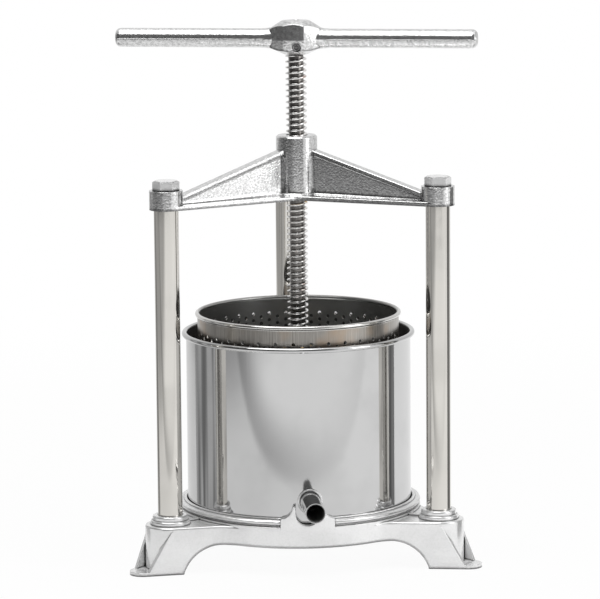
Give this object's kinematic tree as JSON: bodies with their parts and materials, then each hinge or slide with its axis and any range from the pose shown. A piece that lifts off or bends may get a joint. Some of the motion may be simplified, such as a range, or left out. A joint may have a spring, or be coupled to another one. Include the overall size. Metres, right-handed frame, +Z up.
{
  "type": "small fruit press",
  "caption": "Tabletop fruit press: cast legged base and crosshead on polished posts, a coarse screw with a T-handle, and a perforated basket in a pail with a spout.",
  "frame": {"origin": "on the screw's axis, at the height of the table under the feet", "axes": "+Z up along the screw, -Y to the front along the spout, +X to the right of someone facing the spout"},
  "size_m": [0.3718, 0.3856, 0.5587],
  "materials": {
    "cast_aluminium": "tumbled bright casting, fine grain",
    "post_steel": "bright polished stainless tube",
    "pail_steel": "mirror polished stainless sheet",
    "basket_steel": "satin stainless sheet",
    "screw_steel": "bright machined steel",
    "fastener_steel": "bright zinc plated steel",
    "bush_bronze": "machined bronze"
  },
  "bodies": {
    "frame": {"base_casting": "cast_aluminium", "crosshead": "cast_aluminium", "thread_bush": "bush_bronze", "post_tube_left": "post_steel", "post_tube_right": "post_steel", "post_tube_back": "post_steel", "tie_bolt_left": "fastener_steel", "tie_bolt_right": "fastener_steel", "tie_bolt_back": "fastener_steel", "tie_washer_left": "fastener_steel", "tie_washer_right": "fastener_steel", "tie_washer_back": "fastener_steel", "tie_nut_left": "fastener_steel", "tie_nut_right": "fastener_steel", "tie_nut_back": "fastener_steel"},
    "press_plate": {"press_plate": "cast_aluminium", "thrust_washer": "bush_bronze"},
    "screw": {"screw": "screw_steel", "handle": "cast_aluminium", "handle_set_screw": "fastener_steel", "plate_washer": "fastener_steel", "plate_bolt": "fastener_steel"},
    "pail": {"pail_shell": "pail_steel", "spout_tube": "pail_steel", "spout_collar": "pail_steel"},
    "basket": {"basket_wall": "basket_steel", "basket_floor": "basket_steel"}
  },
  "joints": [
    {"name": "press_feed", "type": "slide", "parent": "frame", "child": "press_plate", "axis": [0, 0, 1], "range_m": [-0.0811, 0.1561]},
    {"name": "screw_turn", "type": "hinge", "parent": "press_plate", "child": "screw", "pos_m": [0, 0, 0.2], "axis": [0, 0, 1], "range_deg": [-4860, 9360]},
    {"name": "pail_lift", "type": "slide", "parent": "frame", "child": "pail", "axis": [0, 0, 1], "range_m": [0, 0.022]},
    {"name": "basket_lift", "type": "slide", "parent": "pail", "child": "basket", "axis": [0, 0, 1], "range_m": [0, 0.015]}
  ],
  "couplings": [
    {"joint": "press_feed", "follows": "screw_turn", "m_per_rad": 0.00095493}
  ]
}
